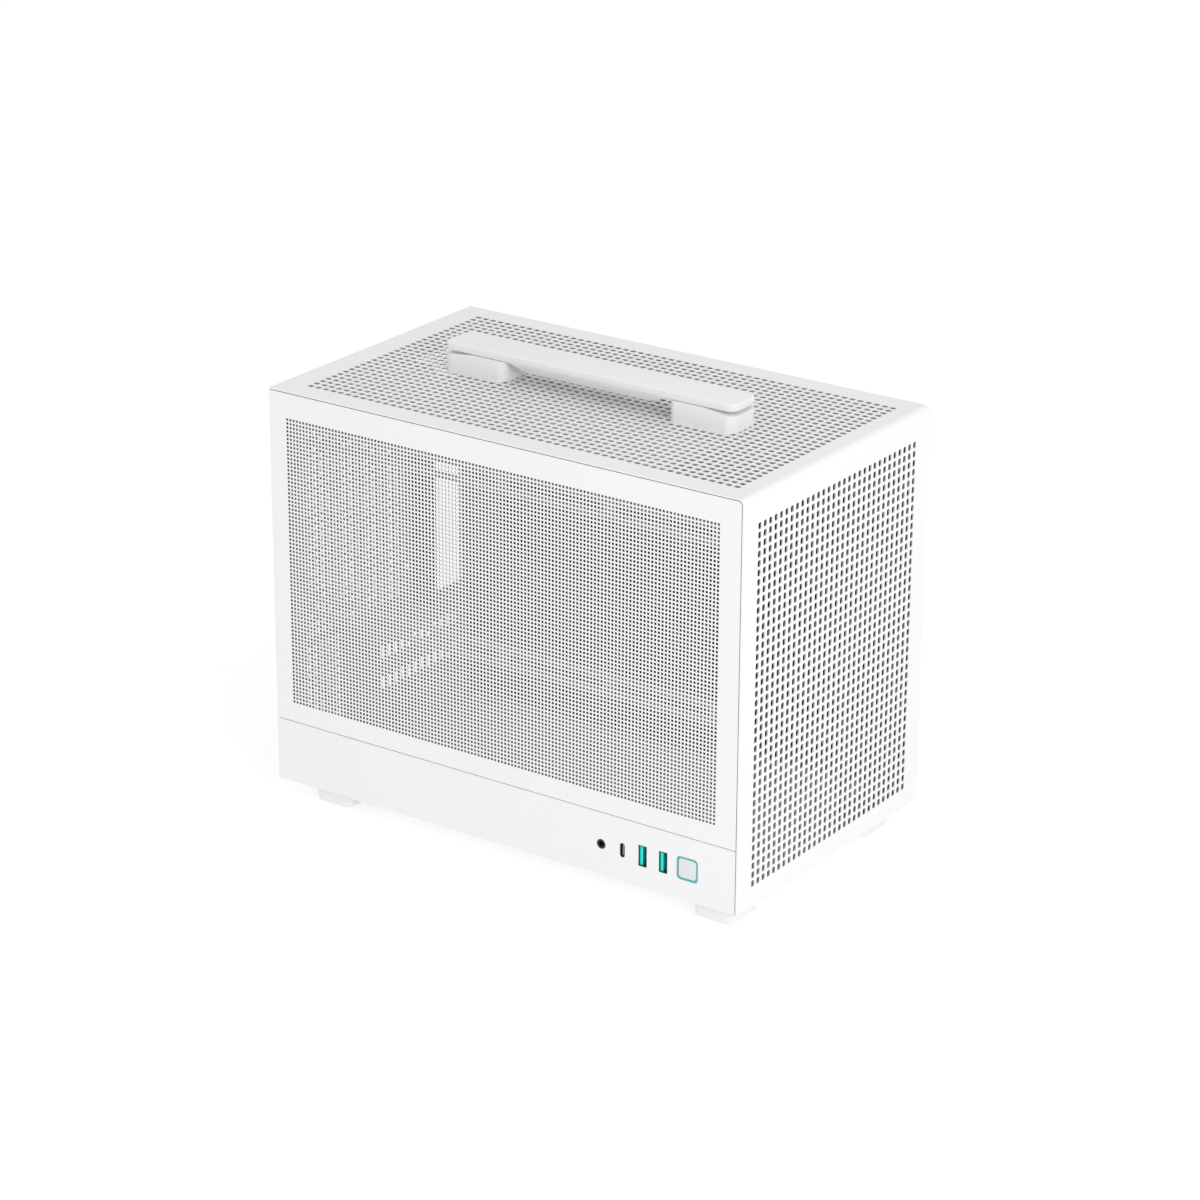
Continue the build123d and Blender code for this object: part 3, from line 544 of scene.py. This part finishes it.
class CASE_OT_wrap_cover(bpy.types.Operator):
    """Slotted front and top, bent from one sheet"""

    bl_idname = "case.wrap_cover"
    bl_label = "Wrap Cover"

    def execute(self, context):
        size = context.scene.case_cover
        low, high = WRAP_LOW, WRAP_HIGH
        top = slotted_field(
            "wrap_cover_slotted", size.along_top, size.across, size.pitch_top, size.pitch_across,
            size.slot_long, size.slot_short, size.slot_round,
        )
        first = low.x + size.top_margin
        top.location = (first + (size.along_top - 1) * size.pitch_top / 2, 0, high.z)
        settle(top)
        front = slotted_field(
            "front_field", size.down_front, size.across, size.pitch_front, size.pitch_across,
            size.slot_long, size.slot_short, size.slot_round,
        )
        front_top = high.z - size.front_margin + size.pitch_front / 2
        front_low = front_top - size.down_front * size.pitch_front
        front.rotation_euler = (0, math.pi / 2, 0)
        front.location = (high.x, 0, (front_top + front_low) / 2)
        settle(front)
        rear_edge = first - size.pitch_top / 2
        bend_start = high.x - size.bend
        front_edge = rear_edge + size.along_top * size.pitch_top
        side(top, 0, rear_edge)
        pull((low.x - rear_edge, 0, 0))
        side(top, 0, front_edge)
        pull((bend_start - front_edge, 0, 0))
        side(top, 0, bend_start)
        bpy.ops.mesh.spin(
            steps=BEND_STEPS, angle=-math.pi / 2, center=(bend_start, 0, high.z - size.bend), axis=(0, 1, 0)
        )
        done()
        side(front, 2, front_top)
        pull((0, 0, high.z - size.bend - front_top))
        side(front, 2, front_low)
        pull((0, 0, low.z - front_low))
        join(top, front)
        settle(top)
        field_edge = size.across * size.pitch_across / 2
        for way in (-1, 1):
            side(top, 1, way * field_edge)
            pull((0, way * (high.y - field_edge), 0))
        turn_alike(top)
        highest = max(top.data.polygons, key=lambda face: face.center.z * HEIGHT_FIRST + face.area)
        if highest.normal.z < 0:
            top.data.flip_normals()
        # The slot walls get grey painted shade.
        thicken(top, size.sheet, "cut_edge")
        dress(top, "white_paint", "chassis", "wrap_cover")
        return {"FINISHED"}


class CASE_OT_side_panels(bpy.types.Operator):
    """Two lift-off side panels, the near one of fine square mesh"""

    bl_idname = "case.side_panels"
    bl_label = "Side Panels"

    def execute(self, context):
        size = context.scene.case_panel
        for name, way in (("near", -1), ("far", 1)):
            self.panel(size, name, way)
        return {"FINISHED"}

    def plain(self, low, high, outer, name):
        """A flat sheet without holes."""
        middle = (low + high) / 2
        bpy.ops.mesh.primitive_plane_add(size=1, rotation=(math.pi / 2, 0, 0), location=(middle.x, outer, middle.z))
        piece = named(name)
        piece.scale = (high.x - low.x, high.z - low.z, 1)
        settle(piece)
        return piece

    def pierced(self, size, low, high, outer, name):
        """A flat sheet with its field of square holes, modelled as one cell and repeated."""
        bpy.ops.mesh.primitive_grid_add(x_subdivisions=2, y_subdivisions=2, size=1, location=(0.5, 0.5, 0))
        piece = named(name)
        bpy.ops.object.transform_apply(location=True)
        for axis, pitch in ((0, size.pitch_along), (1, size.pitch_up)):
            share = size.hole / pitch
            pick(piece, lambda at, a=axis: near(at[a], 0.5), "verts")
            move = [0, 0, 0]
            move[axis] = share - 0.5
            bpy.ops.transform.translate(value=move)
            done()
        piece.scale = (size.pitch_along, size.pitch_up, 1)
        bpy.ops.object.transform_apply(location=True, scale=True)
        reach = size.hole + SAME_PLACE
        pick(piece, lambda at: at.x < reach and at.y < reach, "faces")
        bpy.ops.mesh.delete(type="ONLY_FACE")
        done()
        repeat(piece, size.along, (size.pitch_along, 0, 0))
        repeat(piece, size.up, (0, size.pitch_up, 0))
        field_rear = WRAP_LOW.x + size.rear_margin - size.hole / 2
        field_top = WRAP_HIGH.z - size.top_margin + size.hole / 2 + (size.pitch_up - size.hole)
        field_low = field_top - size.up * size.pitch_up
        field_front = field_rear + size.along * size.pitch_along
        piece.rotation_euler = (math.pi / 2, 0, 0)
        piece.location = (field_rear, outer, field_low)
        settle(piece)
        for axis, level, edge in (
            (0, field_rear, low.x), (0, field_front, high.x), (2, field_low, low.z), (2, field_top, high.z),
        ):
            side(piece, axis, level)
            offset = [0, 0, 0]
            offset[axis] = edge - level
            pull(offset)
        return piece

    def panel(self, size, name, way):
        low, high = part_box(f"side_panel_{name}")
        outer = low.y if way < 0 else high.y
        if way < 0:
            piece = self.pierced(size, low, high, outer, "side_panel_near_mesh")
        else:
            piece = self.plain(low, high, outer, "side_panel_far_sheet")
        pick(piece, lambda at: near(at.x, high.x) and near(at.z, high.z), "verts")
        bpy.ops.mesh.bevel(offset=size.corner, segments=3, affect="VERTICES")
        done()
        for level in (low.z, high.z):
            side(piece, 2, level)
            pull((0, -way * size.lip, 0))
        turn_alike(piece)
        face = max(piece.data.polygons, key=lambda item: item.area * abs(item.normal.y))
        if face.normal.y * way < 0:
            piece.data.flip_normals()
        # The hole walls get near-black painted shade.
        thicken(piece, size.sheet, "mesh_edge")
        dress(piece, "white_paint", f"{name}_panel", f"side_panel_{name}", f"panel_lips_{name}")


def cad_copy(node, name):
    """A merged copy of a CAD node's mesh, ready to be cut or softened."""
    source = frame["nodes"][node]
    piece = bpy.data.objects.new(name, source.data.copy())
    piece.data.materials.clear()
    bpy.context.scene.collection.objects.link(piece)
    pick_all(piece)
    bpy.ops.mesh.remove_doubles(threshold=SAME_POINT)
    bpy.ops.mesh.dissolve_limited(angle_limit=FLAT_ANGLE)
    done()
    return piece


class CASE_OT_rear_panel(bpy.types.Operator):
    """Rear panel with its slotted vents"""

    bl_idname = "case.rear_panel"
    bl_label = "Rear Panel"

    def execute(self, context):
        size = context.scene.case_vent
        piece = cad_copy("rear_panel", "rear_panel_vented")
        low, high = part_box("slot_cover_1")
        wall_x = low.x
        for columns, rows, centre in (
            (size.fan_columns, size.fan_rows, size.fan_centre),
            (size.low_columns, size.low_rows, size.low_centre),
        ):
            bpy.ops.mesh.primitive_cube_add(size=1, location=(wall_x, 0, 0))
            cutter = named("vent_cutter")
            cutter.scale = (size.cutter, size.width, size.height)
            bpy.ops.object.transform_apply(location=True, scale=True)
            half = size.width / 2 - SAME_PLACE
            pick_edges(cutter, lambda one, two: near(one.y, two.y) and near(one.z, two.z))
            bpy.ops.mesh.bevel(offset=half * size.softness, segments=2, affect="EDGES")
            done()
            for count, step in ((columns, (0, size.pitch, 0)), (rows, (0, 0, size.pitch))):
                apply_modifier(
                    cutter, "ARRAY", count=count, use_relative_offset=False, use_constant_offset=True,
                    constant_offset_displace=step,
                )
            cutter.location = (
                0, centre[0] - (columns - 1) * size.pitch / 2, centre[1] - (rows - 1) * size.pitch / 2,
            )
            bpy.ops.object.transform_apply(location=True)
            apply_modifier(piece, "BOOLEAN", operation="DIFFERENCE", solver="EXACT", object=cutter)
            bpy.data.objects.remove(cutter)
        dress(piece, "white_paint", "chassis", "rear_panel")
        return {"FINISHED"}


def rounded_block(name, low, high, corner, edge, sole=1.0):
    """A block between two corners with rounded upright corners and softened edges."""
    middle = (Vector(low) + Vector(high)) / 2
    bpy.ops.mesh.primitive_cube_add(size=1, location=middle)
    piece = named(name)
    piece.scale = Vector(high) - Vector(low)
    bpy.ops.object.transform_apply(location=True, scale=True)
    if sole != 1.0:
        pick(piece, lambda at: near(at.z, low[2]), "faces")
        bpy.ops.transform.resize(value=(sole, sole, 1))
        done()
    pick_edges(piece, lambda one, two: not near(one.z, two.z, UPRIGHT))
    bpy.ops.mesh.bevel(offset=corner, segments=10, affect="EDGES")
    done()
    apply_modifier(piece, "BEVEL", width=edge, segments=4, limit_method="ANGLE", angle_limit=BLOCK_ANGLE)
    only(piece)
    bpy.ops.object.shade_smooth_by_angle(angle=SMOOTH_ANGLE)
    return piece


class CASE_OT_handle(bpy.types.Operator):
    """Handle bar, the blocks it rests on and the grip below it"""

    bl_idname = "case.handle"
    bl_label = "Handle"

    def execute(self, context):
        size = context.scene.case_trim
        low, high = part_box("handle_bar")
        bar = rounded_block("handle_bar_soft", low, high, size.bar_corner, size.bar_round)
        dress(bar, "handle_paint", "handle", "handle_bar")
        for name, slot, body, edge in (
            ("handle_block_rear", "handle_paint", "chassis", size.block_round),
            ("handle_block_front", "handle_paint", "chassis", size.block_round),
            ("handle_grip", "grip_plastic", "handle", size.grip_round),
        ):
            piece = cad_copy(name, f"{name}_soft")
            apply_modifier(piece, "BEVEL", width=edge, segments=3, limit_method="ANGLE")
            bpy.ops.object.shade_smooth_by_angle(angle=SMOOTH_ANGLE)
            dress(piece, slot, body, name)
        return {"FINISHED"}


class CASE_OT_feet(bpy.types.Operator):
    """Four moulded feet"""

    bl_idname = "case.feet"
    bl_label = "Feet"

    def execute(self, context):
        size = context.scene.case_trim
        for name in ("rear_near", "rear_far", "front_near", "front_far"):
            low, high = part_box(f"foot_{name}")
            foot = rounded_block(
                f"foot_{name}_soft", low, high, size.foot_corner, size.foot_round, sole=size.foot_taper
            )
            dress(foot, "white_plastic", "chassis", f"foot_{name}")
        return {"FINISHED"}


class CASE_OT_button(bpy.types.Operator):
    """Square power button"""

    bl_idname = "case.button"
    bl_label = "Button"

    def execute(self, context):
        size = context.scene.case_trim
        button = cad_copy("power_button", "power_button_soft")
        apply_modifier(button, "BEVEL", width=size.button_round, segments=3, limit_method="ANGLE")
        bpy.ops.object.shade_smooth_by_angle(angle=SMOOTH_ANGLE)
        dress(button, "button_plastic", "button", "power_button")
        return {"FINISHED"}


class CASE_OT_finishes(bpy.types.Operator):
    """Materials of the CAD nodes that show as they are"""

    bl_idname = "case.finishes"
    bl_label = "Finishes"

    def execute(self, context):
        for entry in frame["record"]["subparts"]:
            node = frame["nodes"][entry["node"]]
            node.data.materials.clear()
            node.data.materials.append(MATERIALS[self.finish(entry)])
        return {"FINISHED"}

    def finish(self, entry):
        """The ports' shells are darker than the case's other steel, and the small port's tongue is grey."""
        if entry["node"].startswith("usb_") and entry["node"].rstrip("_12").endswith("shell"):
            return "port_shell"
        return "port_insert" if entry["node"] == "usb_c_tongue" else entry["material_slot"]


class CASE_OT_stage(bpy.types.Operator):
    """Pale floor, soft light and camera"""

    bl_idname = "case.stage"
    bl_label = "Stage"

    def execute(self, context):
        stage = context.scene.case_stage
        bpy.ops.mesh.primitive_plane_add(size=stage.floor_side, location=(0, 0, -stage.floor_drop))
        floor = named("floor")
        bpy.ops.object.transform_apply(location=True)
        floor.data.materials.append(moulded("floor_paper", stage.floor, 0.9, glow=stage.floor_glow))
        self.light(stage)
        self.camera(context.scene, stage)
        return {"FINISHED"}

    def light(self, stage):
        bpy.ops.object.light_add(type="AREA", location=stage.key_place)
        light = bpy.context.active_object
        light.name = "front_soft"
        light.data.size = stage.key_size
        light.data.energy = stage.key_power
        aim = Vector(stage.key_aim) - Vector(stage.key_place)
        light.rotation_euler = aim.to_track_quat("-Z", "Y").to_euler()

    def camera(self, scene, stage):
        world = bpy.data.worlds.new("even_light")
        scene.world = world
        world.use_nodes = True
        background = world.node_tree.nodes["Background"]
        background.inputs["Color"].default_value = (1, 1, 1, 1)
        background.inputs["Strength"].default_value = stage.world
        scene.view_settings.view_transform = "Standard"
        turn = math.radians(stage.azimuth)
        rise = math.radians(stage.elevation)
        back = Vector((math.sin(turn) * math.cos(rise), -math.cos(turn) * math.cos(rise), math.sin(rise)))
        target = Vector(stage.target)
        bpy.ops.object.camera_add(location=target + back * stage.distance)
        camera = bpy.context.active_object
        camera.name = "camera"
        level = (-back).to_track_quat("-Z", "Y").to_matrix()
        camera.rotation_euler = level.to_euler()
        camera.rotation_euler.rotate_axis("Z", math.radians(stage.roll))
        camera.data.sensor_width = stage.sensor
        camera.data.lens = stage.lens
        camera.data.clip_end = stage.reach
        scene.camera = camera


OPERATORS = (
    CASE_OT_finishes,
    CASE_OT_wrap_cover,
    CASE_OT_side_panels,
    CASE_OT_rear_panel,
    CASE_OT_handle,
    CASE_OT_feet,
    CASE_OT_button,
    CASE_OT_stage,
)


class CASE_PT_panel(bpy.types.Panel):
    """Lists the steps that build the case"""

    bl_idname = "CASE_PT_panel"
    bl_label = "Computer Case"
    bl_space_type = "VIEW_3D"
    bl_region_type = "UI"
    bl_category = "Case"

    def draw(self, context):
        for operator in OPERATORS:
            self.layout.operator(operator.bl_idname)


def register():
    for name, group in GROUPS:
        bpy.utils.register_class(group)
        setattr(bpy.types.Scene, name, PointerProperty(type=group))
    for item in (*OPERATORS, CASE_PT_panel):
        bpy.utils.register_class(item)


def unregister():
    for item in reversed((*OPERATORS, CASE_PT_panel)):
        bpy.utils.unregister_class(item)
    for name, group in reversed(GROUPS):
        delattr(bpy.types.Scene, name)
        bpy.utils.unregister_class(group)


def main():
    register()
    make_materials(bpy.context.scene.case_colours)
    for operator in OPERATORS:
        family, name = operator.bl_idname.split(".")
        getattr(getattr(bpy.ops, family), name)()


if __name__ == "__main__":
    main()
